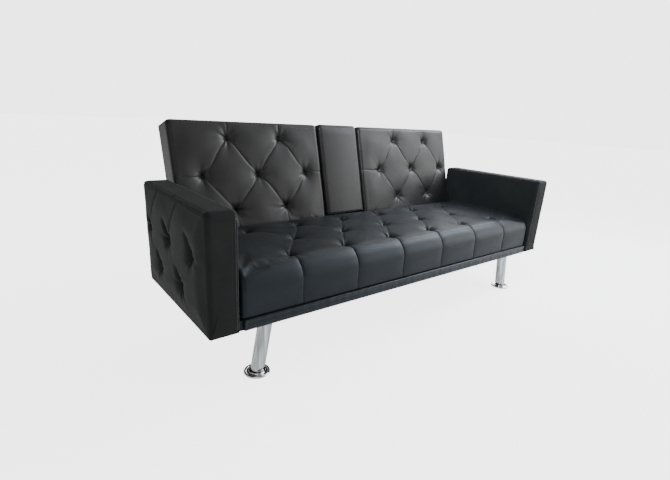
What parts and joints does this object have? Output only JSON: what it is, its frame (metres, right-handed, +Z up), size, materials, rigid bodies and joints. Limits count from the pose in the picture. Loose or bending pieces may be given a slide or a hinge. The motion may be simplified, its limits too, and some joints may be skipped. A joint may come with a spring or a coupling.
{
  "type": "futon sofa bed",
  "caption": "Tufted faux-leather click-clack futon sofa bed with padded arms, a fold-down centre console with cup holders, and splayed chrome tube legs.",
  "frame": {"origin": "on the floor, at the middle of the sofa's footprint with its back upright", "axes": "+X along the sofa's width to the right of someone facing it, +Y towards its back, +Z up; the front faces -Y"},
  "size_m": [1.88, 0.7464, 0.7937],
  "materials": {
    "black_leather": "satin",
    "seat_leather": "satin",
    "timber": "matte",
    "plywood": "matte",
    "spring_steel": "satin",
    "black_steel": "satin",
    "zinc_steel": "satin",
    "chrome": "polished",
    "black_plastic": "satin",
    "dust_cloth": "matte"
  },
  "bodies": {
    "sofa_base": {"seat_front_rail": "timber", "seat_rear_rail": "timber", "seat_left_rail": "timber", "seat_right_rail": "timber", "seat_cross_rail_left": "timber", "seat_cross_rail_right": "timber", "leg_mounting_rail_left": "timber", "leg_mounting_rail_right": "timber", "seat_spring_unit": "spring_steel", "seat_cushion": "seat_leather", "front_trim": "seat_leather", "dust_cover": "dust_cloth", "leg_front_left": "chrome", "foot_flange_front_left": "chrome", "foot_glide_front_left": "black_plastic", "leg_front_right": "chrome", "foot_flange_front_right": "chrome", "foot_glide_front_right": "black_plastic", "leg_rear_left": "chrome", "foot_flange_rear_left": "chrome", "foot_glide_rear_left": "black_plastic", "leg_rear_right": "chrome", "foot_flange_rear_right": "chrome", "foot_glide_rear_right": "black_plastic", "arm_board_left": "plywood", "arm_upholstery_left": "black_leather", "arm_spacer_left": "plywood", "arm_bolt_front_left": "zinc_steel", "arm_bolt_rear_left": "zinc_steel", "hinge_seat_plate_left": "black_steel", "hinge_pin_left": "zinc_steel", "arm_board_right": "plywood", "arm_upholstery_right": "black_leather", "arm_spacer_right": "plywood", "arm_bolt_front_right": "zinc_steel", "arm_bolt_rear_right": "zinc_steel", "hinge_seat_plate_right": "black_steel", "hinge_pin_right": "zinc_steel"},
    "back": {"back_bottom_rail": "timber", "back_bay_rail": "timber", "back_rear_cover": "black_leather", "console_pivot_rod": "zinc_steel", "back_top_rail_left": "timber", "back_outer_post_left": "timber", "back_inner_post_left": "timber", "back_board_left": "plywood", "back_cushion_left": "black_leather", "hinge_back_plate_left": "black_steel", "back_top_rail_right": "timber", "back_outer_post_right": "timber", "back_inner_post_right": "timber", "back_board_right": "plywood", "back_cushion_right": "black_leather", "hinge_back_plate_right": "black_steel"},
    "console": {"console_pad": "black_leather", "console_pivot_sleeve": "zinc_steel", "cup_holder_left": "black_plastic", "cup_holder_right": "black_plastic"}
  },
  "joints": [
    {"name": "back_recline", "type": "hinge", "parent": "sofa_base", "child": "back", "pos_m": [0, 0.19476, 0.354], "axis": [-1, 0, 0], "range_deg": [0, 75]},
    {"name": "console_fold", "type": "hinge", "parent": "back", "child": "console", "pos_m": [0, 0.20279, 0.44192], "axis": [1, 0, 0], "range_deg": [0, 105]}
  ]
}
